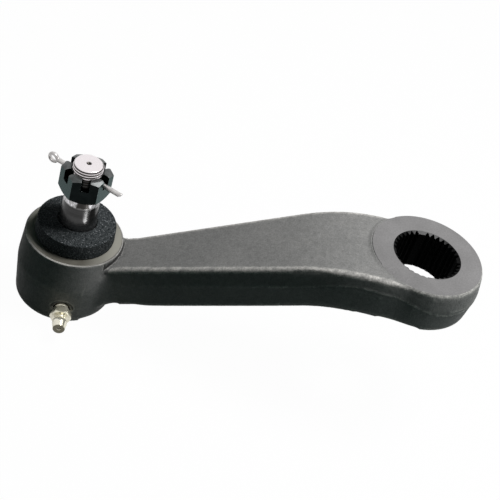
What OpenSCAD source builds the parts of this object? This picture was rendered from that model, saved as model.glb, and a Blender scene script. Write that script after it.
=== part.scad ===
// Dropped pitman arm with its own greased ball stud.
// Millimetres. Origin on the splined bore's axis at the boss's machined top face, +Z along that
// axis, +X from the ball stud towards the bore.

/* [Arm] */
// Distance from the bore's axis to the stud's axis
arm_length = 157.5; // [140:0.5:180]
// Depth of the socket's rim below the boss's top face
arm_drop = 45.3; // [40:0.1:50]
// Thickness of the beam at the boss
beam_t = 21.9; // [20:0.1:22.4]
// How much thicker the beam gets down to the socket
beam_thicken = 1.4; // [0:0.1:2]
// Width of the beam's top face at the socket
beam_w_socket = 22.8; // [18:0.2:28]
// Width of the beam's top face at the boss
beam_w_boss = 46.4; // [40:0.2:48]
// Distance from the bore's axis at which the beam has its full width
taper_end = 34; // [28:1:45]
// Distance from the bore's axis at which the bend starts
bend_start = 18; // [14:1:24]
// Radius of the bend, at the middle of the beam
bend_r = 77; // [50:1:100]
// Depth of the beam's top face below the socket's rim, where it meets the socket
beam_depth = 2.3; // [1.6:0.1:3]
// Sideways offset of the beam from the line between the two axes
beam_offset = 3; // [0:0.5:4]
// Rounding of the beam's long edges
beam_edge_r = 2.8; // [1.5:0.1:4]
// Distance from the socket at which the beam starts to flare into it
root_fillet = 3; // [2:0.5:5]
// Draft of the forged sides, in degrees
draft = 7; // [3:0.5:9]

/* [Boss and splines] */
// Radius of the boss's machined top face
boss_face_r = 25.9; // [24.5:0.1:26.8]
// Radius of the boss at its parting line
boss_parting_r = 28.2; // [27.6:0.1:30]
// Radius of the boss at its lower face
boss_foot_r = 26.8; // [25.5:0.1:27.6]
// Thickness of the boss
boss_t = 22.6; // [22:0.1:26]
// Depth of the boss's parting line below its top face
boss_parting = 9.5; // [7:0.5:12]
// Rounding of the boss's edges
boss_edge_r = 1.2; // [0.6:0.1:1.8]
// Step from the boss's top face down to the beam
face_step = 0.7; // [0.4:0.1:2]
// Diameter of the bore at the bottom of the spline grooves
spline_root_d = 31.75; // [29:0.05:34]
// Height of a spline tooth
spline_h = 1.35; // [0.9:0.05:1.8]
// How far the chamfers at the bore's ends reach beyond the grooves
bore_chamfer = 0.2; // [0.1:0.1:0.6]
// Slope of the chamfers at the bore's ends, in degrees
bore_chamfer_slope = 30; // [30:5:65]
// Pitches around the bore
spline_n = 36; // [32:4:40]
// Wide teeth that let the arm go on in four places only
blind_n = 4; // [2:2:4]
// Angle of the first wide tooth from +X, in degrees
blind_angle = 100; // [0:5:355]

/* [Socket] */
// Radius of the socket at its rim
socket_rim_r = 22.9; // [22:0.1:25]
// Radius of the socket at its parting line
socket_parting_r = 24.4; // [23.6:0.1:26]
// Radius of the socket at its lower end
socket_foot_r = 23.1; // [22.4:0.1:25]
// Height of the socket
socket_h = 36.5; // [36:0.1:40]
// Depth of the parting line below the rim
socket_parting = 16.2; // [14:0.1:18]
// Chamfer around the rim
rim_chamfer = 0.5; // [0.3:0.1:1]
// Bore that holds the bearings
socket_bore_r = 16.5; // [15.8:0.1:17]
// Radius of the throat at the rim
throat_r = 15.2; // [14.8:0.1:16]
// Depth of the bearing bore's upper shoulder below the rim
shoulder_depth = 6.4; // [6.3:0.1:7.6]
// Thickness of the cover plate
cover_t = 2; // [1.5:0.1:2.5]
// How far the cover plate reaches past the bearing bore
cover_land = 1.3; // [0.8:0.1:1.8]
// Height of the lip rolled over the cover plate
lip_h = 1.6; // [1.2:0.1:2]
// How far the middle of the cover plate is pressed in
cover_dish = 0.8; // [0.4:0.1:1]
// Radius of the pressed-in middle
cover_dish_r = 5; // [3:0.5:5.5]

/* [Bearings and spring] */
// Depth of the ball's centre below the rim
ball_depth = 15; // [14.6:0.1:15.2]
// Radius of the upper bearing's mouth
mouth_r = 11; // [10.9:0.1:11.4]
// Height of the gap between the two bearings
bearing_gap = 2; // [1:0.1:3]
// Floor of the lower bearing under the ball
lower_bearing_floor = 1.9; // [1.5:0.1:2]
// Chamfer that leaves the grease a way round the lower bearing
lower_bearing_chamfer = 2; // [1:0.1:2.5]
// Diameter of the grease hole through the lower bearing
lower_bearing_hole_d = 5; // [3:0.5:7]
// Thickness of the disc spring
disc_spring_t = 1.2; // [0.8:0.1:1.6]
// Inner radius of the disc spring
disc_spring_inner_r = 6.5; // [5:0.5:8]
// Outer radius of the disc spring
disc_spring_outer_r = 14; // [12:0.5:15]

/* [Ball stud] */
// Diameter of the ball
ball_d = 25.4; // [25.2:0.1:25.8]
// Diameter of the neck between ball and taper
neck_d = 15.5; // [14:0.1:15.8]
// Height of the stud's end above the socket's rim
stud_h = 42.2; // [38:0.1:46]
// Diameter of the thread
thread_d = 14.29; // [13:0.01:15]
// Length of the thread, end chamfer included
thread_len = 15.9; // [14.5:0.1:18]
// Diameter of the taper at its upper end
taper_top_d = 16.55; // [16:0.05:17.5]
// Height of the taper
taper_h = 21; // [18:0.5:21.5]
// Growth of the taper's diameter for each millimetre of its height
taper_rate = 0.125; // [0.1:0.005:0.16]
// Chamfer at the end of the thread
thread_chamfer = 0.9; // [0.4:0.1:1.4]
// Diameter of the centre mark in the stud's end
centre_mark_d = 2.6; // [1.6:0.1:3.2]

/* [Castle nut and cotter pin] */
// Width across the nut's flats
nut_af = 20.64; // [20:0.01:22.5]
// Height of the nut
nut_h = 13.1; // [12.2:0.1:13.3]
// Distance from the stud's end down to the nut's top
nut_depth = 2.4; // [2:0.1:2.6]
// Width of the nut's slots
slot_w = 4; // [3.5:0.1:4.4]
// Depth of the nut's slots
slot_depth = 5.6; // [5.4:0.1:6]
// How far the nut's end chamfers come in from the flats
nut_chamfer_in = 0.3; // [0.1:0.1:0.8]
// Direction in which the cotter pin's legs leave the nut, in degrees from +X
pin_angle = -21.2; // [-60:0.1:60]
// Diameter of the cotter pin's two legs together
pin_d = 2.4; // [2:0.1:3.2]
// Slit between the legs
pin_slit = 0.15; // [0.1:0.05:0.3]
// Reach of the longer leg from the stud's axis
pin_reach = 19.4; // [16:0.1:24]
// How much shorter the other leg is
pin_stagger = 0.8; // [0:0.1:3]
// Distance from the stud's axis to the middle of the eye
eye_reach = 18.1; // [15:0.1:20]
// Outer diameter of the eye
eye_d = 6; // [4.6:0.1:6.6]

/* [Dust seal] */
// Radius of the foam seal at its foot
seal_foot_r = 18.7; // [18:0.1:20.5]
// Radius of the foam seal at its top
seal_top_r = 18.4; // [17:0.1:20.5]
// Height of the foam seal at its outer edge
seal_h = 7.6; // [6:0.1:9]
// Rise of the foam seal's top towards the stud
seal_crown = 1.4; // [0:0.1:2]

/* [Grease fitting] */
// Direction in which the fitting leaves the socket, in degrees from +X
fitting_angle = -81; // [-120:1:-60]
// Depth of the fitting's axis below the rim
fitting_depth = 28; // [27:0.1:28.4]
// Distance from the stud's axis to the spot face under the fitting
spot_face_r = 23; // [22.4:0.1:23.4]
// Diameter of the spot face
spot_face_d = 11.5; // [11:0.1:13]
// Diameter of the fitting's threaded shank
fitting_shank_d = 6.35; // [6:0.05:7]
// Length of the fitting's threaded shank
fitting_shank_len = 5; // [4:0.1:5.6]
// Length of thread left bare under the fitting's hexagon
fitting_standoff = 2.3; // [1:0.1:3]
// Width across the flats of the fitting's hexagon
fitting_af = 8.73; // [8:0.01:9.5]
// Length of the fitting's hexagon
fitting_hex_len = 4.2; // [3:0.1:5]
// Length of the nipple beyond the hexagon
nipple_len = 7.2; // [6:0.1:8]
// Largest diameter of the nipple
nipple_d = 6.8; // [6:0.1:7.2]
// Diameter of the nipple's flat end
nipple_end_d = 5.5; // [4.6:0.1:5.8]
// Diameter of the waist behind the nipple's head
nipple_waist_d = 4.9; // [4.4:0.1:5.4]
// Length of the waist
nipple_waist_len = 1; // [0.6:0.1:1.6]
// Distance from the hexagon to the start of the nipple's conical end
nipple_head_end = 4; // [3:0.1:4.6]
// Bore of the fitting
fitting_bore_d = 2.6; // [2.4:0.1:2.8]
// Diameter of the hole in the nipple's end
fitting_hole_d = 1.2; // [1:0.1:1.5]
// Diameter of the check ball
check_ball_d = 2.3; // [2.1:0.05:2.35]
// Wall between the bore and the nipple's end
nipple_wall = 1.1; // [0.8:0.1:1.4]
// Thickness of the stop behind the check spring
spring_stop_t = 0.8; // [0.5:0.1:1.2]
// Diameter of the hole through that stop
spring_stop_d = 1.4; // [1:0.1:1.6]
// Wire of the check spring
check_wire_d = 0.3; // [0.2:0.02:0.4]
// Turns of the check spring
check_turns = 7; // [5:1:9]

/* [Clearances] */
// Between the ball and its two bearings
ball_clearance = 0.06; // [0.03:0.01:0.1]
// Between a piece and the bore that it is fitted in
fit_clearance = 0.05; // [0.02:0.01:0.1]
// Between the foam seal and the stud or the rim
seal_clearance = 0.2; // [0.1:0.05:0.4]
// Around the cotter pin in the stud
pin_clearance = 0.25; // [0.15:0.05:0.4]
// Between the check spring and the fitting's bore
check_spring_gap = 0.3; // [0.2:0.05:0.4]
// Between the check ball and the edge that it closes
check_seat_gap = 0.03; // [0.02:0.01:0.08]

/* [Hidden] */
$fn = 96;

stud_x = -arm_length;
rim_z = -arm_drop;
foot_z = rim_z - socket_h;
ball_z = rim_z - ball_depth;
ball_r = ball_d / 2;
shoulder_z = rim_z - shoulder_depth;
through = 1;

// The socket's inside, from the lower end up
lip_z = foot_z + lip_h;
cover_top_z = lip_z + cover_t;
cover_r = socket_bore_r + cover_land;
lower_bearing_z = ball_z - ball_r - ball_clearance - lower_bearing_floor;
seat_r = ball_r + ball_clearance;

// The stud, from its end down
stud_top_z = rim_z + stud_h;
taper_z = stud_top_z - thread_len;
taper_foot_z = taper_z - taper_h;
taper_foot_d = taper_top_d + taper_h * taper_rate;
nut_z = stud_top_z - nut_depth - nut_h;
pin_z = nut_z + nut_h - slot_depth + pin_d / 2 + fit_clearance;

// The grease fitting, measured outwards from its spot face
hex_top_z = fitting_standoff + fitting_hex_len;
nipple_end_z = hex_top_z + nipple_len;
bore_end_z = nipple_end_z - nipple_wall;
spring_stop_z = -fitting_shank_len + spring_stop_t;
check_ball_z = bore_end_z - sqrt(pow(check_ball_d, 2) - pow(fitting_hole_d, 2)) / 2 - check_seat_gap;
coil_steps = 12;
wire_sides = 6;

// The beam's middle line: level from the boss, then an arc, then a straight slope. The slope is the
// tangent from the beam's place at the socket to the top face's arc.
level_z = -face_step - beam_t / 2;
top_arc_r = bend_r + beam_t / 2;
root_x = -bend_start - stud_x - socket_parting_r;
root_z = rim_z - beam_depth - level_z + bend_r;
beam_slope = atan2(root_x, root_z) - acos(top_arc_r / norm([root_x, root_z]));
arc_len = bend_r * beam_slope * PI / 180;
arc_end_x = -bend_start - bend_r * sin(beam_slope);
arc_end_z = level_z - bend_r * (1 - cos(beam_slope));
beam_lean = sin(beam_slope) * beam_t / 2;
root_s = arc_len + (arc_end_x - stud_x - socket_parting_r - root_fillet - beam_lean) / cos(beam_slope);
beam_start_s = -bend_start + boss_edge_r;
beam_end_s = arc_len + (arc_end_x - stud_x - socket_bore_r + beam_lean) / cos(beam_slope);
beam_arc_steps = 8;
beam_root_steps = 16;
edge_steps = 4;
top_fillet = 0.4;
taper_blend = 4;

// Point of an arc, as [radius, height] of a profile
function arc(centre, r, from, to, steps) =
    [for (i = [0 : steps])
        let (a = from + (to - from) * i / steps)
        centre + r * [cos(a), sin(a)]];

// Smaller of two values, with a soft change from one to the other
function soft_min(a, b, k) = (a + b - sqrt(pow(a - b, 2) + k)) / 2;

// Slope of the beam's middle line at the distance s from the bend's start
function beam_angle(s) = max(0, min(beam_slope, s / bend_r * 180 / PI));

// Point [x, z] of the beam's middle line at the distance s from the bend's start
function beam_point(s) =
    s < 0 ? [-bend_start - s, level_z] :
    s < arc_len ? [-bend_start, level_z] - bend_r * [sin(beam_angle(s)), 1 - cos(beam_angle(s))] :
    [arc_end_x, arc_end_z] - (s - arc_len) * [cos(beam_slope), sin(beam_slope)];

// How far a fillet that starts at the distance r from the wall stands out at the distance u
function flare(u, r) = pow(max(0, r - max(0, u)), 2) / r / 2;

// Half the width of the beam's top face at x
function beam_half_w(x) =
    let (run = arm_length - socket_parting_r - taper_end,
         rate = (beam_w_boss - beam_w_socket) / 2 / run)
    soft_min(beam_w_socket / 2 + rate * (x - stud_x - socket_parting_r), beam_w_boss / 2, taper_blend);

// A quarter of the beam's section: the drafted side, then the rounded edge
function beam_quarter(half_w, half_t) =
    let (centre = [half_w + beam_edge_r * (tan(draft) - 1 / cos(draft)), half_t - beam_edge_r])
    concat([[half_w + half_t * tan(draft), 0]], arc(centre, beam_edge_r, draft, 90, edge_steps));

// The whole section, counter-clockwise from the parting line at +Y
function beam_section(half_w, upper_t, lower_t) =
    let (q = beam_quarter(half_w, upper_t),
         r = beam_quarter(half_w + (upper_t - lower_t) * tan(draft), lower_t),
         n = len(q))
    concat(q,
           [for (i = [n - 1 : -1 : 0]) [-q[i][0], q[i][1]]],
           [for (i = [1 : n - 1]) [-r[i][0], -r[i][1]]],
           [for (i = [n - 1 : -1 : 1]) [r[i][0], -r[i][1]]]);

// A point q of a section, placed at the distance s along the middle line
function beam_place(s, q) =
    let (p = beam_point(s),
         a = beam_angle(s))
    [p[0] - sin(a) * q[1], q[0] - beam_offset, p[1] + cos(a) * q[1]];

// The section at s, square to the middle line, each point flared out as it nears the socket's wall
function beam_ring(s) =
    let (half_w = beam_half_w(beam_place(s, [0, beam_t / 2])[0]),
         lower_t = beam_t / 2 + beam_thicken * max(0, s) / beam_end_s,
         plain = beam_section(half_w, beam_t / 2, lower_t))
    [for (i = [0 : len(plain) - 1])
        let (at = beam_place(s, plain[i]),
             wall = norm([at[0] - stud_x, at[1]]) - socket_parting_r,
             f = flare(wall, root_fillet))
        beam_place(s, beam_section(half_w + f, beam_t / 2 + f * top_fillet, lower_t + f * top_fillet)[i])];

// Solid through a list of rings that all have the same count of points
module loft(rings) {
    n = len(rings[0]);
    last = len(rings) - 1;
    polyhedron(
        points = [for (r = rings) each r],
        faces = concat(
            [for (i = [1 : n - 2]) [0, i + 1, i]],
            [for (i = [1 : n - 2]) [last * n, last * n + i, last * n + i + 1]],
            [for (k = [0 : last - 1], i = [0 : n - 1])
                each [[k * n + i, (k + 1) * n + (i + 1) % n, (k + 1) * n + i],
                      [k * n + i, k * n + (i + 1) % n, (k + 1) * n + (i + 1) % n]]]));
}

module beam() {
    stations = concat(
        [beam_start_s],
        [for (i = [0 : beam_arc_steps]) arc_len * i / beam_arc_steps],
        [for (i = [0 : beam_root_steps]) root_s + (beam_end_s - root_s) * i / beam_root_steps]);
    loft([for (s = stations) beam_ring(s)]);
}

module boss() {
    top_centre = [boss_face_r - boss_edge_r / 2, -boss_edge_r];
    foot_centre = [boss_foot_r - boss_edge_r, -boss_t + boss_edge_r];
    rotate_extrude()
        polygon(concat(
            [[0, -boss_t]],
            arc(foot_centre, boss_edge_r, -90, -draft, edge_steps),
            [[boss_parting_r, -boss_parting]],
            arc(top_centre, boss_edge_r, draft, 90, edge_steps),
            [[0, 0]]));
}

// Outline of the bore: grooves on every pitch but the blind ones
module spline_outline() {
    pitch = 360 / spline_n;
    root_r = spline_root_d / 2;
    tip_r = root_r - spline_h;
    mouth = 0.36;
    floor_share = 0.1;
    polygon([for (k = [0 : spline_n - 1])
        let (a = blind_angle + k * pitch,
             blind = k % (spline_n / blind_n) == 0)
        each [for (p = [[-mouth, tip_r], [-floor_share, root_r], [floor_share, root_r], [mouth, tip_r]])
            (blind ? tip_r : p[1]) * [cos(a + p[0] * pitch), sin(a + p[0] * pitch)]]]);
}

module socket_blank() {
    rotate_extrude()
        polygon([[0, foot_z], [socket_foot_r - rim_chamfer, foot_z], [socket_foot_r, foot_z + rim_chamfer],
                 [socket_parting_r, rim_z - socket_parting], [socket_rim_r, rim_z - rim_chamfer],
                 [socket_rim_r - rim_chamfer, rim_z], [0, rim_z]]);
}

// The socket's inside: throat, bearing bore, seat of the cover plate and the rolled lip
module socket_cavity() {
    throat_foot_r = mouth_r + fit_clearance;
    lip_r = cover_r - lip_h;
    rotate_extrude()
        polygon([[0, foot_z - through], [lip_r + through, foot_z - through], [lip_r, lip_z],
                 [cover_r + fit_clearance, lip_z], [cover_r + fit_clearance, cover_top_z],
                 [socket_bore_r, cover_top_z], [socket_bore_r, shoulder_z], [throat_foot_r, shoulder_z],
                 [throat_r, rim_z], [throat_r, rim_z + through], [0, rim_z + through]]);
}

// Turns +Z outwards along the grease fitting, with zero on its spot face
module at_fitting() {
    translate([stud_x, 0, rim_z - fitting_depth])
        rotate([0, 90, fitting_angle])
            translate([0, 0, spot_face_r])
                children();
}

module arm_forging() color([0.30, 0.31, 0.31]) {
    chamfer_r = spline_root_d / 2 + bore_chamfer;
    chamfer_h = chamfer_r * tan(bore_chamfer_slope);
    difference() {
        union() {
            boss();
            beam();
            translate([stud_x, 0, 0]) socket_blank();
        }
        translate([0, 0, -boss_t - beam_t])
            linear_extrude(boss_t + 2 * beam_t) spline_outline();
        translate([0, 0, -chamfer_h]) cylinder(r1 = 0, r2 = chamfer_r, h = chamfer_h);
        translate([0, 0, -boss_t]) cylinder(r1 = chamfer_r, r2 = 0, h = chamfer_h);
        translate([stud_x, 0, 0]) socket_cavity();
        at_fitting() {
            cylinder(d = spot_face_d, h = spot_face_d);
            translate([0, 0, -spot_face_r + socket_bore_r - through])
                cylinder(d = fitting_shank_d + 2 * fit_clearance,
                         h = spot_face_r - socket_bore_r + 2 * through);
        }
    }
}

module ball_stud() color([0.55, 0.54, 0.52]) {
    thread_r = thread_d / 2;
    shank_r = neck_d / 2;
    neck_top_z = rim_z;
    translate([stud_x, 0, 0])
        difference() {
            union() {
                translate([0, 0, ball_z]) sphere(d = ball_d);
                rotate_extrude()
                    polygon([[0, ball_z], [shank_r, ball_z], [shank_r, neck_top_z],
                             [taper_foot_d / 2, taper_foot_z], [taper_top_d / 2, taper_z],
                             [thread_r, taper_z], [thread_r, stud_top_z - thread_chamfer],
                             [thread_r - thread_chamfer, stud_top_z], [0, stud_top_z]]);
            }
            translate([0, 0, stud_top_z - centre_mark_d / 2])
                cylinder(d1 = 0, d2 = centre_mark_d + 2 * through, h = centre_mark_d / 2 + through);
            translate([0, 0, pin_z])
                rotate([0, 90, pin_angle])
                    cylinder(d = pin_d + 2 * pin_clearance, h = thread_d + 2 * through, center = true);
        }
}

module castle_nut() color([0.10, 0.11, 0.11]) {
    corner_r = nut_af / sqrt(3);
    chamfer_r = nut_af / 2 - nut_chamfer_in;
    chamfer_h = (corner_r - chamfer_r) * tan(30);
    slots = 3;
    translate([stud_x, 0, nut_z])
        difference() {
            intersection() {
                rotate([0, 0, pin_angle + 30]) cylinder(r = corner_r, h = nut_h, $fn = 6);
                rotate_extrude()
                    polygon([[0, 0], [chamfer_r, 0], [corner_r, chamfer_h], [corner_r, nut_h - chamfer_h],
                             [chamfer_r, nut_h], [0, nut_h]]);
            }
            translate([0, 0, -through])
                cylinder(d = thread_d + 2 * fit_clearance, h = nut_h + 2 * through);
            for (i = [0 : slots - 1])
                rotate([0, 0, pin_angle + i * 180 / slots])
                    translate([-nut_af, -slot_w / 2, nut_h - slot_depth])
                        cube([2 * nut_af, slot_w, slot_depth + through]);
        }
}

// One leg of the pin: a half-round rod along +X, above or below the slit
module pin_leg(from, to, side) {
    translate([from, 0, 0])
        rotate([90, 0, 90])
            linear_extrude(to - from)
                intersection() {
                    circle(d = pin_d);
                    translate([-pin_d, side > 0 ? pin_slit / 2 : -pin_d - pin_slit / 2])
                        square([2 * pin_d, pin_d]);
                }
}

module cotter_pin() color([0.72, 0.70, 0.68]) {
    wire = pin_d / 2 - pin_slit / 2;
    eye_r = eye_d / 2;
    leg_start = -eye_reach + eye_r - wire;
    translate([stud_x, 0, pin_z])
        rotate([0, 0, pin_angle]) {
            pin_leg(leg_start, pin_reach, 1);
            pin_leg(leg_start, pin_reach - pin_stagger, -1);
            translate([-eye_reach, 0, 0])
                rotate([90, 0, 0])
                    translate([0, 0, -pin_d / 2])
                        difference() {
                            cylinder(r = eye_r, h = pin_d);
                            translate([0, 0, -through]) cylinder(r = eye_r - wire, h = pin_d + 2 * through);
                        }
        }
}

module dust_seal() color([0.09, 0.09, 0.09]) {
    foot = rim_z + seal_clearance / 2;
    hole_r = taper_foot_d / 2 + seal_clearance;
    soft_edge = 0.8;
    translate([stud_x, 0, foot])
        rotate_extrude()
            polygon(concat(
                [[hole_r, 0], [seal_foot_r, 0]],
                arc([seal_top_r - soft_edge, seal_h - soft_edge], soft_edge, 0, 90, edge_steps),
                [[hole_r, seal_h + seal_crown]]));
}

module upper_bearing() color([0.62, 0.52, 0.30]) {
    foot = ball_z - bearing_gap / 2;
    height = shoulder_z - foot;
    translate([stud_x, 0, 0])
        difference() {
            translate([0, 0, foot]) cylinder(r = socket_bore_r - fit_clearance, h = height);
            translate([0, 0, ball_z]) sphere(r = seat_r);
            translate([0, 0, ball_z]) cylinder(r = mouth_r, h = height + through);
            translate([0, 0, foot - through]) cylinder(r = seat_r, h = ball_z - foot + through);
        }
}

module lower_bearing() color([0.62, 0.52, 0.30]) {
    outer_r = socket_bore_r - fit_clearance;
    translate([stud_x, 0, 0])
        difference() {
            rotate_extrude()
                polygon([[0, lower_bearing_z], [outer_r - lower_bearing_chamfer, lower_bearing_z],
                         [outer_r, lower_bearing_z + lower_bearing_chamfer],
                         [outer_r, ball_z - bearing_gap / 2], [0, ball_z - bearing_gap / 2]]);
            translate([0, 0, ball_z]) sphere(r = seat_r);
            translate([0, 0, lower_bearing_z - through]) cylinder(d = lower_bearing_hole_d, h = ball_r);
        }
}

// Disc spring: its outer edge stands on the cover plate, its inner edge lifts the lower bearing
module preload_spring() color([0.35, 0.35, 0.36]) {
    translate([stud_x, 0, 0])
        rotate_extrude()
            polygon([[disc_spring_outer_r, cover_top_z],
                     [disc_spring_outer_r, cover_top_z + disc_spring_t],
                     [disc_spring_inner_r, lower_bearing_z],
                     [disc_spring_inner_r, lower_bearing_z - disc_spring_t]]);
}

module cover_plate() color([0.25, 0.26, 0.26]) {
    wall_r = cover_dish_r + cover_t;
    translate([stud_x, 0, lip_z])
        rotate_extrude()
            polygon([[0, cover_dish], [cover_dish_r, cover_dish], [wall_r, 0], [cover_r, 0],
                     [cover_r, cover_t], [wall_r, cover_t], [cover_dish_r, cover_t + cover_dish],
                     [0, cover_t + cover_dish]]);
}

module grease_fitting() color([0.78, 0.74, 0.60]) {
    corner_r = fitting_af / sqrt(3);
    chamfer_h = (corner_r - fitting_af / 2) * tan(30);
    waist_r = nipple_waist_d / 2;
    head_r = nipple_d / 2;
    hex_mid_z = hex_top_z - fitting_hex_len / 2;
    at_fitting()
        difference() {
            union() {
                rotate_extrude()
                    polygon([[0, -fitting_shank_len], [fitting_shank_d / 2, -fitting_shank_len],
                             [fitting_shank_d / 2, hex_mid_z], [waist_r, hex_mid_z],
                             [waist_r, hex_top_z + nipple_waist_len],
                             [head_r, hex_top_z + nipple_waist_len + head_r - waist_r],
                             [head_r, hex_top_z + nipple_head_end], [nipple_end_d / 2, nipple_end_z],
                             [0, nipple_end_z]]);
                translate([0, 0, fitting_standoff]) intersection() {
                    rotate([0, 0, 30]) cylinder(r = corner_r, h = fitting_hex_len, $fn = 6);
                    cylinder(r1 = corner_r + (fitting_hex_len - chamfer_h) / tan(30), r2 = fitting_af / 2,
                             h = fitting_hex_len);
                }
            }
            translate([0, 0, -fitting_shank_len - through])
                cylinder(d = spring_stop_d, h = fitting_shank_len + fitting_hex_len);
            translate([0, 0, spring_stop_z])
                cylinder(d = fitting_bore_d, h = bore_end_z - spring_stop_z);
            cylinder(d = fitting_hole_d, h = nipple_end_z + through);
        }
}

module check_ball() color([0.70, 0.70, 0.70]) {
    at_fitting() translate([0, 0, check_ball_z]) sphere(d = check_ball_d);
}

// Coil between the stop in the shank and the back of the check ball
module check_spring() color([0.60, 0.60, 0.60]) {
    wire_r = check_wire_d / 2;
    coil_r = fitting_bore_d / 2 - wire_r - check_spring_gap;
    low = spring_stop_z + wire_r + fit_clearance;
    high = check_ball_z - sqrt(pow(check_ball_d / 2 + wire_r, 2) - pow(coil_r, 2)) - fit_clearance;
    steps = check_turns * coil_steps;
    rings = [for (k = [0 : steps])
        let (turn = 360 * k / coil_steps,
             z = low + (high - low) * k / steps)
        [for (i = [0 : wire_sides - 1])
            let (a = 360 * i / wire_sides,
                 r = coil_r + wire_r * cos(a))
            [r * cos(turn), r * sin(turn), z + wire_r * sin(a)]]];
    at_fitting() loft(rings);
}

arm_forging();
ball_stud();
castle_nut();
cotter_pin();
dust_seal();
upper_bearing();
lower_bearing();
preload_spring();
cover_plate();
grease_fitting();
check_ball();
check_spring();
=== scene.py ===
"""Looks of a forged, dropped pitman arm with its greased ball stud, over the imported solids."""
import math

import bmesh
import bpy
from mathutils import Matrix, Vector


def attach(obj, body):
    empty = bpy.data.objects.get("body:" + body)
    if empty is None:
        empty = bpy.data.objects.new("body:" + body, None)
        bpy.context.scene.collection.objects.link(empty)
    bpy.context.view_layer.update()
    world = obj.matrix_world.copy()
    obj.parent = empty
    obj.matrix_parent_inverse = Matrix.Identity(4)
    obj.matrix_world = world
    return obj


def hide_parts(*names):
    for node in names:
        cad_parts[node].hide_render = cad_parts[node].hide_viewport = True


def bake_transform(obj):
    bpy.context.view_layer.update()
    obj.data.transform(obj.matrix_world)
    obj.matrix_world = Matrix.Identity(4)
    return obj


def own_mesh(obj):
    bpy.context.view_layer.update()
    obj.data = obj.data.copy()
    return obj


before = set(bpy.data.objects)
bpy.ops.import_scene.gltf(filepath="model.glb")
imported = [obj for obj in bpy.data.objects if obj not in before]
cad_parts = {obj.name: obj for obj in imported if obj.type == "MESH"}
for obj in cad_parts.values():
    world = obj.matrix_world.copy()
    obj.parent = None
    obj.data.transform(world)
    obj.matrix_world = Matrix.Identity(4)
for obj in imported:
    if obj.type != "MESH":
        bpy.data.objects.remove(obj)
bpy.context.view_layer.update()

MM = 0.001

# Main places and sizes of the part, in millimetres
STUD_X = -157.5
RIM_Z = -45.3
FOOT_Z = -81.8
BALL_Z = -60.3
STUD_END_Z = -3.1
NUT_Z = -19.4
NUT_TOP_Z = -6.3
PIN_Z = -10.65
PIN_ANGLE = math.radians(-21.2)
FITTING_ANGLE = math.radians(-81)
FITTING_Z = -73.3
FITTING_REACH = 13.7
SPOT_R = 23.0
BOSS_FOOT_Z = -22.6

# Closer vertices than this are merged, in metres
DOUBLED = 0.002 * MM

# The direction in which the grease fitting leaves the socket
way_out = Vector((math.cos(FITTING_ANGLE), math.sin(FITTING_ANGLE), 0))


# Small helpers of the workbench

def deselect():
    """Leaves edit mode with nothing selected."""
    if bpy.context.mode != "OBJECT":
        bpy.ops.object.mode_set(mode="OBJECT")
    bpy.ops.object.select_all(action="DESELECT")


def take(obj):
    """Makes obj the only selected object."""
    deselect()
    obj.select_set(True)
    bpy.context.view_layer.objects.active = obj
    return obj


def edit(obj):
    """Takes obj into edit mode."""
    take(obj)
    bpy.ops.object.mode_set(mode="EDIT")
    return obj


def named(name):
    """Names the object that was just made."""
    obj = bpy.context.object
    obj.name = name
    obj.data.name = name
    return obj


def choose(obj, test, kind="VERT"):
    """In edit mode, selects the vertices or faces whose middle (in mm) and normal pass the test."""
    bpy.ops.mesh.select_mode(type=kind)
    bpy.ops.mesh.select_all(action="DESELECT")
    mesh = bmesh.from_edit_mesh(obj.data)
    for item in mesh.verts if kind == "VERT" else mesh.faces:
        middle = item.co if kind == "VERT" else item.calc_center_median()
        if test(middle / MM, item.normal):
            item.select_set(True)
    mesh.select_flush_mode()
    bmesh.update_edit_mesh(obj.data)


def choose_all(kind=None):
    """In edit mode, selects everything, after a change to vertices or faces where one is asked for."""
    if kind:
        bpy.ops.mesh.select_mode(type=kind)
    bpy.ops.mesh.select_all(action="SELECT")


def push(x=0, z=0):
    """Extrudes what is selected along X and Z, in millimetres."""
    bpy.ops.mesh.extrude_region_move(TRANSFORM_OT_translate={"value": (x * MM, 0, z * MM)})


def fill_outline():
    """Closes a drawn outline and fills it with one face."""
    choose_all()
    bpy.ops.mesh.remove_doubles(threshold=DOUBLED)
    bpy.ops.mesh.edge_face_add()


def finish_modifier(obj, kind, **values):
    """Adds a modifier with its values and applies it."""
    take(obj)
    modifier = obj.modifiers.new(kind.lower(), kind)
    for key, value in values.items():
        setattr(modifier, key, value)
    bpy.ops.object.modifier_apply(modifier=modifier.name)
    return obj


def bevel(obj, width, degrees, **values):
    """Rounds the edges that are sharper than an angle, by a width in millimetres."""
    return finish_modifier(obj, "BEVEL", width=width * MM, segments=2, limit_method="ANGLE",
                           angle_limit=math.radians(degrees), **values)


def cut(obj, tool, way="DIFFERENCE"):
    """Joins, cuts or trims obj with a tool, which is used up."""
    finish_modifier(obj, "BOOLEAN", object=tool, operation=way, solver="EXACT")
    bpy.data.objects.remove(tool)
    return take(obj)


def settle(obj):
    """Puts an object's place and turn into its mesh."""
    take(obj)
    bpy.ops.object.transform_apply(location=True, rotation=True, scale=True)
    return obj


def outward(obj):
    """Merges doubled vertices and points every face outwards."""
    edit(obj)
    choose_all()
    bpy.ops.mesh.remove_doubles(threshold=DOUBLED)
    bpy.ops.mesh.normals_make_consistent(inside=False)
    deselect()
    return obj


def draw_line(name, points):
    """A chain of edges through the points, drawn by extruding one vertex."""
    deselect()
    bpy.ops.mesh.primitive_plane_add(size=MM)
    obj = named(name)
    bpy.ops.object.mode_set(mode="EDIT")
    choose_all("VERT")
    bpy.ops.mesh.merge(type="CENTER")
    choose_all()
    bpy.ops.transform.translate(value=Vector(points[0]) * MM)
    for a, b in zip(points, points[1:]):
        step = (Vector(b) - Vector(a)) * MM
        bpy.ops.mesh.extrude_region_move(TRANSFORM_OT_translate={"value": step})
    return obj


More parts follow.
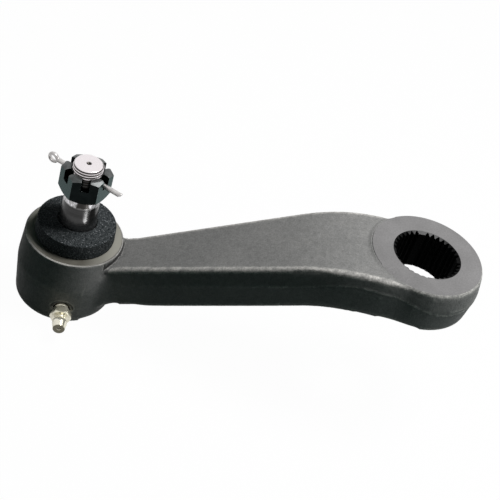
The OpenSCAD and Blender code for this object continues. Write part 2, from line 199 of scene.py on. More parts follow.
def turned(name, outline, steps):
    """A turned piece: an outline of (radius, height) spun about Z."""
    obj = draw_line(name, [(r, 0, z) for r, z in outline])
    choose_all()
    bpy.ops.mesh.spin(steps=steps, angle=2 * math.pi, center=(0, 0, 0), axis=(0, 0, 1))
    return outward(obj)


def bow(centre, r, start, end, steps):
    """Points of an arc in an outline, in degrees."""
    return [(centre[0] + r * math.cos(math.radians(start + (end - start) * i / steps)),
             centre[1] + r * math.sin(math.radians(start + (end - start) * i / steps)))
            for i in range(steps + 1)]


def place(obj, x=0, y=0, z=0, turn=None):
    """Sets a piece at its place in millimetres, turned by a matrix, for good."""
    obj.location = Vector((x, y, z)) * MM
    if turn is not None:
        obj.rotation_euler = turn.to_euler()
    return settle(obj)


def smooth(obj, degrees):
    """Shades a piece smooth, with edges kept sharp above an angle."""
    take(obj)
    bpy.ops.object.shade_smooth_by_angle(angle=math.radians(degrees))
    return obj


def ease(height, share):
    """Rises smoothly to the height while the share goes from 0 to 1."""
    share = max(0.0, min(1.0, share))
    return height * share * share * (3 - 2 * share)


def from_bore(p):
    """How far a point lies from the bore's axis, in mm."""
    return math.hypot(p.x, p.y)


def from_stud(p):
    """How far a point lies from the stud's axis, in mm."""
    return math.hypot(p.x - STUD_X, p.y)


# The forged arm: boss, beam and socket blanks, blended, then machined

LEVEL_Z = -11.6
HALF_T = 10.95
HALF_W = 23.7
BEND_START = -18.0
BEND_R = 77.0
BEND_STEPS = 9
SLOPE = math.radians(26.41)
BEAM_Y = -3.4
TWIST = math.radians(1.2)
DRAFT = math.tan(math.radians(7))


def beam_blank():
    """The beam, extruded section by section from the boss down its bend to the socket."""
    start_x, start_w, crease_up, edge_r = 4.0, HALF_W - 1.6, 2, 1.4
    root_x, root_w, widening = -133.1, 11.8, 11.9 / 99.1
    thicker, thicker_over = 0.7, 133
    waist, waist_start, waist_length = 0.8, 73, 15
    middle = Vector((start_x, BEAM_Y, LEVEL_Z)) * MM
    deselect()
    bpy.ops.mesh.primitive_plane_add(size=1, location=middle, rotation=(0, -math.pi / 2, 0))
    beam = edit(settle(named("beam_blank")))
    choose_all()
    bpy.ops.transform.resize(value=(1, 2 * start_w * MM, 2 * HALF_T * MM), center_override=middle)
    bpy.ops.mesh.subdivide(number_cuts=1)
    choose(beam, lambda p, n: abs(p.z - LEVEL_Z) < 1)
    bpy.ops.transform.resize(value=(1, 1 + HALF_T * DRAFT / start_w, 1), center_override=middle)
    bpy.ops.transform.translate(value=(0, 0, crease_up * MM))
    choose_all()
    bpy.ops.transform.rotate(value=TWIST, orient_axis="X", center_override=middle)
    choose_all("FACE")
    # Stations along the middle line, as distances from the bend's start
    arc = SLOPE * BEND_R
    stations = [arc * i / BEND_STEPS for i in range(BEND_STEPS + 1)]
    stations += [arc + s for s in (10, 24, 38, 52, 66, 76, 83, 90, 102, 110)]
    last_x, last_z, last_turn, last_w, last_t = start_x, LEVEL_Z, 0.0, start_w, HALF_T
    for s in stations:
        turn = min(s / BEND_R, SLOPE)
        run, fall = math.cos(turn), math.sin(turn)
        straight = max(0, s - arc)
        x = BEND_START - BEND_R * fall - straight * run
        z = LEVEL_Z - BEND_R * (1 - run) - straight * fall
        # The half width of the top face: a slope that goes over softly to the greatest width
        sloping = root_w + widening * (x - fall * HALF_T - root_x)
        w = (sloping + HALF_W - math.sqrt((sloping - HALF_W) ** 2 + 4)) / 2
        thick = HALF_T + thicker * s / thicker_over - ease(waist, (s - arc - waist_start) / waist_length)
        bpy.ops.mesh.extrude_region_move(
            TRANSFORM_OT_translate={"value": Vector((x - last_x, 0, z - last_z)) * MM})
        here = Vector((x, BEAM_Y, z)) * MM
        bpy.ops.transform.rotate(value=turn - last_turn, orient_axis="Y", center_override=here)
        if 0 < s <= arc + 0.01:
            bpy.ops.transform.rotate(value=-TWIST / BEND_STEPS, orient_axis="X", center_override=here)
        # The section grows from its top, square to the middle line
        across = ((run, 0, fall), (0, 1, 0), (-fall, 0, run))
        grow_from = Vector((x - fall * last_t, BEAM_Y, z + run * last_t)) * MM
        bpy.ops.transform.resize(value=(1, w / last_w, thick / last_t), orient_type="GLOBAL",
                                 orient_matrix=across, orient_matrix_type="GLOBAL",
                                 center_override=grow_from)
        drop = thick - last_t
        last_x, last_z = x + fall * drop, z - run * drop
        last_turn, last_w, last_t = turn, w, thick
    edit(outward(beam))
    bpy.ops.mesh.select_mode(type="EDGE")
    bpy.ops.mesh.select_all(action="DESELECT")
    bpy.ops.mesh.edges_select_sharp(sharpness=math.radians(50))
    bpy.ops.mesh.bevel(offset=edge_r * MM, segments=4, profile=0.5, affect="EDGES", clamp_overlap=True)
    deselect()
    return beam


def root_blank():
    """The flared root of the beam: a plan with a fillet on each side, trimmed by a widened beam."""
    inner_x, outer_x, low_z, tall = -150, -126, -84, 44
    plan = [(inner_x, -12)] + bow((-134.2, -24.4), 9.0, 134, 83, 10) + [(outer_x, -12), (outer_x, 6)]
    plan += bow((-130.95, 15.6), 7.0, -83, -149.6, 10) + [(inner_x, 8), (inner_x, -12)]
    root = draw_line("root_blank", [(x, y, low_z) for x, y in plan])
    fill_outline()
    push(z=tall)
    # The plan leans: its top lies 1 mm to the right and its foot 5 mm to the left
    bpy.ops.transform.translate(value=(1.0 * MM, 0, 0))
    choose(root, lambda p, n: p.z < low_z + 4)
    bpy.ops.transform.translate(value=(-5.0 * MM, 0, 0))
    outward(root)
    wide = edit(beam_blank())
    choose_all()
    bpy.ops.transform.resize(value=(1, 2.4, 1), center_override=(0, BEAM_Y * MM, 0))
    deselect()
    edit(cut(root, wide, "INTERSECT"))
    # The top of the front fillet lies lower than the beam
    choose(root, lambda p, n: p.y < -5 and p.z > -50.8 + 0.4875 * (p.x + 138))
    bpy.ops.transform.translate(value=(0, 0, -5 * MM))
    deselect()
    return root


def spline_tool():
    """The splined bore as a solid: a ring of points pushed out into grooves and extruded."""
    pitches, points_per_pitch, blind_every = 36, 6, 9
    tip_r, flank_r, root_r = 14.525, 15.25, 15.875
    foot, tall = (0, 0, -26 * MM), 32
    blind = math.radians(100)
    pitch = 2 * math.pi / pitches
    deselect()
    bpy.ops.mesh.primitive_circle_add(vertices=pitches * points_per_pitch, radius=tip_r * MM,
                                      fill_type="NGON", location=foot)
    tool = edit(settle(named("spline_tool")))

    def groove(share):
        def test(p, n):
            turn = (math.atan2(p.y, p.x) - blind) / pitch
            toothed = round(turn) % pitches % blind_every != 0
            return toothed and abs(abs(turn - round(turn)) - share) < 0.06
        return test

    bpy.ops.transform.rotate(value=-(blind - pitch * 0.25 / 3), orient_axis="Z", center_override=(0, 0, 0))
    for share, r in ((0.0833, root_r), (0.25, flank_r)):
        choose(tool, groove(share))
        bpy.ops.transform.resize(value=(r / tip_r, r / tip_r, 1), center_override=foot)
    choose_all()
    push(z=tall)
    return outward(tool)


def arc_strip(name, points, r, x, z, kept):
    """In edit mode, a flat strip along the part of a circle whose angle, in degrees, is kept."""
    deselect()
    bpy.ops.mesh.primitive_circle_add(vertices=points, radius=r * MM, location=(x * MM, 0, z * MM))
    tool = edit(settle(named(name)))
    choose(tool, lambda p, n: not kept(math.degrees(math.atan2(p.y, p.x - x))))
    bpy.ops.mesh.delete(type="VERT")
    choose_all()
    bpy.ops.mesh.extrude_region_move()
    bpy.ops.transform.resize(value=(1.09, 1.09, 1), center_override=(x * MM, 0, 0))
    choose_all()
    return tool


def step_tool():
    """The corner between the boss and the beam's top, cut crisp around the left of the boss."""
    top = LEVEL_Z + HALF_T
    tool = arc_strip("step_tool", 144, 25.9, 0, top + 0.26, lambda angle: 127 <= angle % 360 <= 219)
    bpy.ops.transform.rotate(value=TWIST, orient_axis="X", center_override=Vector((0, BEAM_Y, top)) * MM)
    choose_all("FACE")
    push(z=4)
    return outward(tool)


def root_step_tool():
    """The corner between the beam's top and the socket's wall, cut crisp under the rim."""
    low_z, turn = -47.5, math.radians(26.0)
    tool = arc_strip("root_step_tool", 180, 23.1, STUD_X, low_z, lambda angle: -40 < angle < 28)
    pivot = Vector((-134.3, 0, low_z)) * MM
    bpy.ops.transform.resize(value=(1 / math.cos(turn), 1, 1), center_override=pivot)
    bpy.ops.transform.rotate(value=turn, orient_axis="Y", center_override=pivot)
    choose_all("FACE")
    push(z=8)
    return outward(tool)


def on_flash_line(p, n):
    """Tells the line that the two dies leave: higher in the bend, falling round the boss's front."""
    if from_bore(p) < 29:
        line = -8.75 - 0.2 * max(-12, min(12, p.x))
        return p.x > -12 and abs(p.z - line) < 0.42 and abs(n.z) < 0.5
    bend_run, slope = 33.9, 0.489
    s = max(0.0, BEND_START - p.x)
    bent = BEND_R - math.sqrt(BEND_R ** 2 - min(s, bend_run) ** 2)
    middle = LEVEL_Z - bent - max(0, s - bend_run) * slope
    line = middle + 2.0 + ease(3.2, (p.x + 56) / 28)
    return p.x > -131 and abs(p.z - line) < 0.46 and abs(n.y) > 0.7


def forged_arm():
    """Boss, beam and socket, joined and blended as a forging, then machined."""
    arm = turned("forged_arm", [(0, BOSS_FOOT_Z), (25.4, BOSS_FOOT_Z), (26.5, -22.0), (26.85, -21.0),
                                (28.2, -9.6), (28.1, -8.6), (27.1, -2.6), (26.6, -0.7), (25.9, 0.3),
                                (25.0, 0.8), (0, 0.8)], 128)
    cut(arm, beam_blank(), "UNION")
    socket = turned("socket_blank", [(0, FOOT_Z), (22.2, FOOT_Z), (22.9, -81.5), (23.15, -80.8),
                                     (24.4, -62.4), (24.4, -60.6), (22.75, -42.5), (0, -42.5)], 128)
    cut(arm, place(socket, STUD_X), "UNION")
    cut(arm, root_blank(), "UNION")
    finish_modifier(arm, "REMESH", mode="VOXEL", voxel_size=0.7 * MM)
    finish_modifier(arm, "SMOOTH", factor=0.5, iterations=4)
    edit(arm)
    # Rounder places: the beam's root at the socket, three at the boss's front, the bend's front
    for repeat, test in (
            (45, lambda p, n: p.x > STUD_X + 12 and 21.5 < from_stud(p) < 32
             and p.z < -50.2 + 0.4966 * (p.x + 134)),
            (12, lambda p, n: -26 < p.x < 4 and p.y < -22 and p.z < -3),
            (40, lambda p, n: -16 < p.x < 4 and p.y < -22 and p.z < -1.5),
            (12, lambda p, n: -2 < p.x < 14 and p.y < -20 and -20 < p.z < -4),
            (25, lambda p, n: -58 < p.x < -14 and p.y < -12 and abs(n.y) > 0.7 and p.z < -5)):
        choose(arm, test)
        bpy.ops.mesh.vertices_smooth(factor=0.5, repeat=repeat)
    # The flash line stands out less on the slope than at the bend and the boss
    for height, start, end in ((0.05, -66, -42), (0.1, -42, 40)):
        choose(arm, lambda p, n: start < p.x <= end and on_flash_line(p, n))
        bpy.ops.transform.shrink_fatten(value=height * MM)
    deselect()
    # Machined faces and bores
    cut(arm, turned("facing_tool", [(0, 0), (30, 0), (30, 4), (0, 4)], 64))
    cut(arm, step_tool())
    cut(arm, root_step_tool())
    cut(arm, spline_tool())
    for end, way, reach, slope in ((0, 1, 16.075, 30), (BOSS_FOOT_Z, -1, 18.0, 34)):
        fall = way * reach * math.tan(math.radians(slope))
        cut(arm, turned("bore_countersink", [(0, end - fall), (reach, end), (2 * reach, end + fall),
                                             (0, end + fall)], 160))
    rim = turned("rim_tool", [(0, RIM_Z), (22.3, RIM_Z), (22.6, RIM_Z - 0.3), (23.2, RIM_Z - 0.3),
                              (23.2, RIM_Z + 6), (0, RIM_Z + 6)], 160)
    throat = turned("throat_tool", [(0, FOOT_Z - 2), (17.6, FOOT_Z - 2), (16.4, FOOT_Z + 0.5), (16.2, -80.2),
                                    (17.85, -80.2), (17.85, -78.2), (16.5, -78.2), (16.5, -51.7),
                                    (11.05, -51.7), (15.2, RIM_Z), (15.2, RIM_Z + 3), (0, RIM_Z + 3)], 96)
    cut(arm, place(rim, STUD_X))
    cut(arm, place(throat, STUD_X))
    spot = turned("spot_tool", [(0, -8), (3.225, -8), (3.225, -0.5), (4.1, 0), (5.6, 0), (6.4, 6),
                                (0, 6)], 64)
    cut(arm, at_fitting(spot))
    outward(arm)
    return smooth(arm, 30)


def at_fitting(obj):
    """Turns a piece made along +Z so that it leaves the socket at the grease fitting."""
    turn = Matrix.Rotation(FITTING_ANGLE, 3, "Z") @ Matrix.Rotation(math.pi / 2, 3, "Y")
    foot = Vector((STUD_X, 0, FITTING_Z)) + way_out * SPOT_R
    return place(obj, foot.x, foot.y, foot.z, turn)


def out_of_fitting(p):
    """How far a point lies out from the spot face, along the grease fitting, in mm."""
    return (p.x - STUD_X) * math.cos(FITTING_ANGLE) + p.y * math.sin(FITTING_ANGLE) - SPOT_R


def beside_fitting(p):
    """How far a point lies from the grease fitting's axis, in mm."""
    aside = (p.x - STUD_X) * math.sin(FITTING_ANGLE) - p.y * math.cos(FITTING_ANGLE)
    return math.hypot(aside, p.z - FITTING_Z)


# The pieces on the arm, with the pitch of the stud's real thread in millimetres

PITCH = 1.411


def threaded_stud():
    """Ball, neck and taper turned in one, joined to a thread wound by the Screw modifier."""
    crest, root = 6.98, 6.15
    thread = draw_line("thread", [(root, 0, 0), (crest - 0.05, 0, 0.42 * PITCH), (crest, 0, 0.5 * PITCH),
                                  (crest - 0.05, 0, 0.58 * PITCH), (root, 0, PITCH)])
    finish_modifier(thread, "SCREW", axis="Z", angle=2 * math.pi, screw_offset=PITCH * MM, iterations=12,
                    steps=64, render_steps=64, use_merge_vertices=False)
    outward(thread)
    edit(thread)
    choose_all()
    bpy.ops.mesh.fill_holes(sides=0)
    bpy.ops.mesh.quads_convert_to_tris()
    bpy.ops.mesh.normals_make_consistent(inside=False)
    place(thread, 0, 0, -20.4)
    envelope = turned("thread_envelope", [(0, -19.6), (7.3, -19.6), (7.3, STUD_END_Z - 1.3),
                                          (6.9, STUD_END_Z - 0.9)]
                      + bow((6.15, STUD_END_Z - 0.3), 0.3, 40, 90, 4) + [(0, STUD_END_Z)], 96)
    cut(thread, envelope, "INTERSECT")
    stud = turned("threaded_stud",
                  bow((0, BALL_Z), 12.7, -90, 52, 26)
                  + [(7.75, -49.9), (7.75, -45.6), (9.1, -41.2), (9.4, -40.8), (8.05, -19.95)]
                  + [(7.9, -19.8), (6.3, -19.8), (6.3, -6.5), (0, -6.5)], 128)
    cut(stud, thread, "UNION")
    mark = turned("centre_mark", [(0, STUD_END_Z - 1.4), (1.3, STUD_END_Z), (1.6, STUD_END_Z + 0.4),
                                  (0, STUD_END_Z + 0.4)], 48)
    cut(stud, mark)
    deselect()
    bpy.ops.mesh.primitive_cylinder_add(vertices=32, radius=1.45 * MM, depth=18 * MM,
                                        location=(0, 0, PIN_Z * MM), rotation=(0, math.pi / 2, PIN_ANGLE))
    cut(stud, settle(named("pin_hole_tool")))
    place(outward(stud), STUD_X)
    return smooth(stud, 34)


def castle_nut():
    """A chamfered hexagon with a bore and three slots across it, its edges and crown tops in lighter oxide:
    rubbing, and painted highlight.
    """
    flats, top, low = 20.64, NUT_TOP_Z, NUT_Z
    slot_wide, slot_deep, tool_long, tool_tall = 4.0, 5.6, 30, 10
    corner = flats / math.sqrt(3)
    deselect()
    bpy.ops.mesh.primitive_cylinder_add(vertices=6, radius=corner * MM, depth=(top - low) * MM,
                                        location=(0, 0, (top + low) / 2 * MM),
                                        rotation=(0, 0, PIN_ANGLE))
    nut = settle(named("castle_nut_body"))
    lathe = turned("nut_chamfer", [(0, low), (9.4, low), (corner + 0.05, low + 1.75),
                                   (corner + 0.05, top - 1.2), (9.75, top - 0.1), (9.5, top), (0, top)], 96)
    cut(nut, lathe, "INTERSECT")
    bore = turned("nut_bore", [(0, low - 1), (8.0, low - 1), (7.2, low + 0.4), (7.2, top - 0.4),
                               (7.9, top + 0.4), (0, top + 0.4)], 72)
    cut(nut, bore)
    for i in range(3):
        deselect()
        bpy.ops.mesh.primitive_cube_add(size=1, location=(0, 0, (top - slot_deep + tool_tall / 2) * MM),
                                        rotation=(0, 0, PIN_ANGLE + i * math.pi / 3))
        slot = named("slot_tool")
        slot.scale = Vector((tool_long, slot_wide, tool_tall)) * MM
        edit(settle(slot))
        # The slot's floor is rounded into its walls
        choose(slot, lambda p, n: p.z < top - 5, "FACE")
        bpy.ops.mesh.bevel(offset=0.5 * MM, segments=3, affect="EDGES")
        cut(nut, slot)
    outward(nut)
    give(nut, black_oxide("black_oxide"))
    # Lighter oxide on the edges and slot floors, and on the crown tops: rubbed, and partly painted highlight
    # where the light catches them
    for name, pale, dark, rough in (
            ("rubbed_oxide_highlight", (0.12, 0.135, 0.135), (0.03, 0.035, 0.035), 0.35),
            ("crown_oxide_lit", (0.105, 0.11, 0.11), (0.05, 0.054, 0.054), 0.4)):
        nut.data.materials.append(steel(name, pale, dark, rough, 300, 0.8))
    rubbed, crown = 1, 2
    edit(nut)
    nut.active_material_index = crown
    choose(nut, lambda p, n: p.z > top - 1.4 and n.z > 0.5, "FACE")
    bpy.ops.object.material_slot_assign()
    bevel(nut, 0.2, 28, harden_normals=False, material=rubbed)
    place(nut, STUD_X)
    smooth(nut, 40)
    return finish_modifier(nut, "WEIGHTED_NORMAL", keep_sharp=True, weight=80)


def cotter_pin():
    """One half-round wire: back along the upper leg, round the eye and out along the lower leg."""
    wide, deep, slit = 1.1, 1.1, 0.08
    eye_x, eye_r, neck_r = -18.3, 2.2, 1.5
    tip_x, leg, shorter = 19.0, (0.4, 4.6, 12.0), 1.2
    lift = slit + 0.5 + neck_r
    neck_x = eye_x + math.sqrt((eye_r + neck_r) ** 2 - lift ** 2)
    lean = math.asin(lift / (eye_r + neck_r))
    section = [(wide * math.cos(a), slit + deep * math.sin(a))
               for a in [math.pi * i / 12 for i in range(13)]]
    pin = draw_line("cotter_wire", [(tip_x, y, z) for y, z in section + section[:1]])
    fill_outline()
    bpy.ops.mesh.select_mode(type="FACE")
    last = tip_x - sum(leg) - neck_x
    for length in (*leg, last):
        push(-length)
    out = math.pi / 2 - lean
    for steps, angle, x, z in ((7, -out, neck_x, lift), (26, 2 * math.pi - 2 * lean, eye_x, 0),
                               (7, -out, neck_x, -lift)):
        bpy.ops.mesh.spin(steps=steps, angle=angle, center=Vector((x, 0, z)) * MM, axis=(0, 1, 0), dupli=False)
    for length in (last - shorter, *reversed(leg)):
        push(length)
    outward(pin)
    bevel(pin, 0.12, 50)
    place(pin, STUD_X, 0, PIN_Z, Matrix.Rotation(PIN_ANGLE, 3, "Z"))
    return smooth(pin, 40)


def foam_seal():
    """A soft crowned ring of foam, wider inside at its foot so that the shank can lean."""
    foot, top, crown = RIM_Z + 0.1, RIM_Z + 7.7, 1.4
    outline = [(14.6, foot), (17.6, foot), (18.5, foot), (18.72, foot + 0.25), (18.68, foot + 1.2)]
    outline += [(18.62, foot + 2.8), (18.56, foot + 4.4), (18.5, foot + 6.0), (18.42, top - 0.7)]
    outline += bow((18.16, top - 0.22), 0.24, 5, 80, 4)
    outline += [(17.6, top + 0.1), (16.5, top + 0.28), (14.5, top + 0.58), (12.5, top + 0.95)]
    outline += [(10.9, top + crown - 0.12)]
    outline += bow((9.7, top + crown - 0.4), 0.35, 80, 180, 3)
    outline += [(9.3, top), (9.5, top - 0.8), (11.0, top - 3.4), (13.4, top - 6.0), (14.6, foot)]
    seal = turned("foam_seal", outline, 200)
    finish_modifier(seal, "SUBSURF", levels=1, render_levels=1)
    cells = bpy.data.textures.new("foam_cells", "CLOUDS")
    cells.noise_scale = 0.5 * MM
    cells.noise_depth = 2
    finish_modifier(seal, "DISPLACE", texture=cells, texture_coords="LOCAL", strength=0.4 * MM, mid_level=0.6)
    place(seal, STUD_X)
    return smooth(seal, 60)


def grease_fitting():
    """A chamfered hexagon joined to the turned nipple and its grooved foot."""
    hexagon, bare, long = 8.73, 2.3, 4.2
    neck, end = bare + long, bare + long + 7.2
    corner = hexagon / math.sqrt(3)
    deselect()
    bpy.ops.mesh.primitive_cylinder_add(vertices=6, radius=corner * MM, depth=long * MM,
                                        location=(0, 0, (bare + long / 2) * MM))
    fitting = settle(named("fitting_body"))
    lathe = turned("fitting_lathe", [(0, bare), (4.2, bare), (corner, bare + 0.5), (corner, neck - 0.55),
                                     (4.25, neck), (0, neck)], 72)
    cut(fitting, lathe, "INTERSECT")
    grooves = [(2.75 if i % 2 else 3.15, -4.4 + 0.45 * i) for i in range(14)]
    nipple = turned("nipple", [(0, -5), (2.7, -5)] + grooves + [(2.7, bare - 0.3), (2.7, neck + 0.3)]
                    + bow((3.15, neck + 0.75), 0.75, 215, 165, 4)
                    + [(2.5, neck + 1.4), (3.15, neck + 1.95), (3.4, neck + 2.4), (3.4, neck + 3.7),
                       (3.2, neck + 4.4), (2.8, end - 0.3), (2.55, end), (1.2, end), (0.95, end - 0.25),
                       (0.6, end - 0.4), (0.6, end - 1.1), (1.3, end - 1.1), (1.3, -4.2), (0.7, -4.2),
                       (0.7, -5.4), (0, -5.4)], 72)
    cut(fitting, nipple, "UNION")
    outward(fitting)
    bevel(fitting, 0.12, 30)
    at_fitting(fitting)
    return smooth(fitting, 40)


# Where the check spring stands, out from the spot face in millimetres
COIL_FOOT = -4.15


def check_coil():
    """The fine spring behind the check ball: a ring of round wire, wound up by the Screw modifier."""
    wire_r, coil_r, turns = 0.15, 0.85, 7
    low, high = COIL_FOOT + wire_r, 10.55
    deselect()
    bpy.ops.mesh.primitive_circle_add(vertices=12, radius=wire_r * MM, fill_type="NOTHING",
                                      location=(coil_r * MM, 0, low * MM), rotation=(math.pi / 2, 0, 0))
    coil = settle(named("check_coil"))
    finish_modifier(coil, "SCREW", axis="Z", angle=2 * math.pi, screw_offset=(high - low) / turns * MM,
                    iterations=turns, steps=24, render_steps=24, use_merge_vertices=False)
    edit(coil)
    choose_all()
    bpy.ops.mesh.fill_holes(sides=0)
    outward(coil)
    at_fitting(coil)
    return smooth(coil, 40)


# Finishes

class Finish:
    """A node material on Object coordinates."""

    def __init__(self, name):
        self.material = bpy.data.materials.new(name)
        self.material.use_nodes = True
        self.tree = self.material.node_tree
        self.shader = self.tree.nodes["Principled BSDF"]
        self.coords = self.tree.nodes.new("ShaderNodeTexCoord").outputs["Object"]

    def add(self, kind, inputs=None, **values):
        """Adds a node with its values, and links or sets its inputs."""
        node = self.tree.nodes.new(kind)
        for key, value in values.items():
            setattr(node, key, value)
        for key, value in (inputs or {}).items():
            if isinstance(value, bpy.types.NodeSocket):
                self.tree.links.new(value, node.inputs[key])
            else:
                node.inputs[key].default_value = value
        return node

    def noise(self, scale, detail, rough, vector=None):
        inputs = {"Vector": vector or self.coords, "Scale": scale, "Detail": detail, "Roughness": rough}
        return self.add("ShaderNodeTexNoise", inputs).outputs["Fac"]

    def moved(self, x):
        """Coordinates from a place on X, in metres."""
        return self.add("ShaderNodeMapping", {"Vector": self.coords, "Location": (-x, 0, 0)}).outputs["Vector"]

    def parts(self, vector):
        """The X, Y and Z of a vector."""
        return self.add("ShaderNodeSeparateXYZ", {"Vector": vector}).outputs

    def ramp(self, value, *stops):
        """Greys or colours between stops of (place, tone)."""
        node = self.add("ShaderNodeValToRGB", {"Fac": value})
        elements = node.color_ramp.elements
        while len(elements) < len(stops):
            elements.new(0.5)
        for element, (at, colour) in zip(elements, stops):
            element.position = at
            element.color = (*colour, 1) if isinstance(colour, tuple) else (colour, colour, colour, 1)
        return node.outputs["Color"]

    def mix(self, share, a, b, blend="MIX"):
        a, b = ((*value, 1) if isinstance(value, tuple) else value for value in (a, b))
        return self.add("ShaderNodeMix", {0: share, 6: a, 7: b}, data_type="RGBA", blend_type=blend).outputs[2]

    def overlay(self, share, under, value, *stops):
        """Lightens and darkens a colour by a ramp of greys around a half."""
        return self.mix(share, under, self.ramp(value, *stops), "OVERLAY")

    def math(self, operation, a, b=0.0):
        return self.add("ShaderNodeMath", {0: a, 1: b}, operation=operation).outputs[0]

    def times(self, a, b):
        return self.math("MULTIPLY", a, b)

    def without(self, value):
        """One less the value."""
        return self.math("SUBTRACT", 1.0, value)

    def away(self, x, y):
        """Distance from the axis Z."""
        return self.math("SQRT", self.math("ADD", self.times(x, x), self.times(y, y)))

    def span(self, value, low, high, start=0.0, end=1.0):
        """Goes from low to high while the value goes from start to end."""
        inputs = {"Value": value, "From Min": start, "From Max": end, "To Min": low, "To Max": high}
        return self.add("ShaderNodeMapRange", inputs).outputs[0]

    def bump(self, height, distance, strength, under=None):
        """The normal over a height, on top of another bump where one is given."""
        inputs = {"Height": height, "Distance": distance, "Strength": strength}
        if under is not None:
            inputs["Normal"] = under
        return self.add("ShaderNodeBump", inputs).outputs["Normal"]

    def done(self, colour, rough, normal, **values):
        """Links the three sockets to the shader and sets its other values."""
        for key, socket in (("Base Color", colour), ("Roughness", rough), ("Normal", normal)):
            self.tree.links.new(socket, self.shader.inputs[key])
        for key, value in values.items():
            self.shader.inputs[key.replace("_", " ").title().replace("Ior", "IOR")].default_value = value
        return self.material


def phosphate(name, pale, dark, worn_and_sheen, gloss=1.1):
    """Dark phosphate on forged steel: blotchy and speckled, painted darker down the slope as shade, bright
    along the edges as wear and painted highlight, with painted shade in the corners.
    """
    f = Finish(name)
    blotch = f.noise(42, 4, 0.6)
    grain = f.noise(1500, 3, 0.6)
    pits = f.noise(420, 4, 0.65)
    ground = f.mix(f.ramp(blotch, (0.3, 0.0), (0.7, 1.0)), dark, pale)
    ground = f.overlay(0.6, ground, grain, (0.3, 0.34), (0.5, 0.5), (0.72, 0.68))
    ground = f.overlay(0.5, ground, pits, (0.3, 0.38), (0.5, 0.5), (0.7, 0.6))
    # Painted shade: darker down the slope towards the socket, where the light falls off
    x, y, _ = f.parts(f.coords)
    level = f.span(x, 0.3, 1.0, -85 * MM, -18 * MM)
    ground = f.mix(f.without(level), ground, (0.42, 0.42, 0.42), "OVERLAY")
    # Wear on the edges in patches, partly a painted highlight of the sheen on rounded edges, with bright
    # flecks near the boss, partly painted glints, and none at the step beside it
    edge = f.add("ShaderNodeNewGeometry").outputs["Pointiness"]
    patchy = f.times(f.ramp(pits, (0.34, 0.3), (0.6, 1.0)), f.ramp(grain, (0.35, 0.45), (0.6, 1.0)))
    edge_wear_and_sheen = f.times(f.ramp(edge, (0.503, 0.0), (0.5095, 1.0)), patchy)
    beside_boss = f.math("LESS_THAN", f.away(x, y), 27.2 * MM)
    step = f.times(beside_boss, f.math("LESS_THAN", x, -11 * MM))
    edge_wear_and_sheen = f.times(edge_wear_and_sheen, f.without(step))
    near_boss = f.span(x, 0.25, 1.0, -45 * MM, -8 * MM)
    flecks_and_glints = f.times(near_boss, f.ramp(f.noise(620, 2, 0.5), (0.54, 0.0), (0.63, 1.0)))
    colour = f.mix(edge_wear_and_sheen, ground, f.mix(flecks_and_glints, worn_and_sheen, tuple(min(1.0, 1.35 * c) for c in worn_and_sheen)))
    # Painted shade in the concave corners, less of it at the step
    corner_shade = f.times(f.ramp(edge, (0.455, 0.8), (0.492, 0.0)), f.without(f.times(step, 0.75)))
    colour = f.mix(corner_shade, colour, tuple(0.12 * c for c in dark))
    low = f.bump(pits, 0.2 * MM, 0.8)
    return f.done(colour, f.span(pits, 0.45, 0.68), f.bump(grain, 0.06 * MM, 0.7, low), ior=gloss)


def machined(name, pale, dark, centre=0.0, other=None, spread=None):
    """Coated face with the fine rings that a facing tool leaves around its centre.

    Where another tone is given, the face goes over to it across the spread of X, in metres from
    the centre: to both sides where the spread starts at or above 0, or else to the right."""
    f = Finish(name)
    about = f.moved(centre)
    rings = f.add("ShaderNodeTexWave", {"Vector": about, "Scale": 700.0, "Distortion": 0.6, "Detail": 1.0},
                  wave_type="RINGS", rings_direction="Z").outputs["Fac"]
    grain = f.noise(1300, 3, 0.6)
    blotch = f.noise(60, 3, 0.55)
    colour = f.mix(f.ramp(blotch, (0.3, 0.0), (0.7, 1.0)), dark, pale)
    colour = f.overlay(0.5, colour, grain, (0.3, 0.38), (0.5, 0.5), (0.72, 0.62))
    if other:
        x = f.parts(about)[0]
        if spread[0] >= 0:
            x = f.math("ABSOLUTE", x)
        colour = f.mix(f.span(x, 0.0, 1.0, *spread), colour, other)
    low = f.bump(rings, 0.012 * MM, 0.5)
    return f.done(colour, f.span(grain, 0.42, 0.6), f.bump(grain, 0.03 * MM, 0.5, low), ior=1.12)


def steel(name, pale, dark, rough, lines, metallic=1.0):
    """Stained metal with fine lines across the axis Z."""
    f = Finish(name)
    stretched = f.add("ShaderNodeMapping", {"Vector": f.coords, "Scale": (60, 60, lines)}).outputs["Vector"]
    brushed = f.noise(1.0, 4, 0.7, stretched)
    stain = f.noise(260, 4, 0.6)
    colour = f.mix(f.ramp(stain, (0.35, 0.0), (0.68, 1.0)), dark, pale)
    return f.done(colour, f.span(brushed, rough - 0.07, rough + 0.09), f.bump(brushed, 0.02 * MM, 0.35),
                  metallic=metallic)


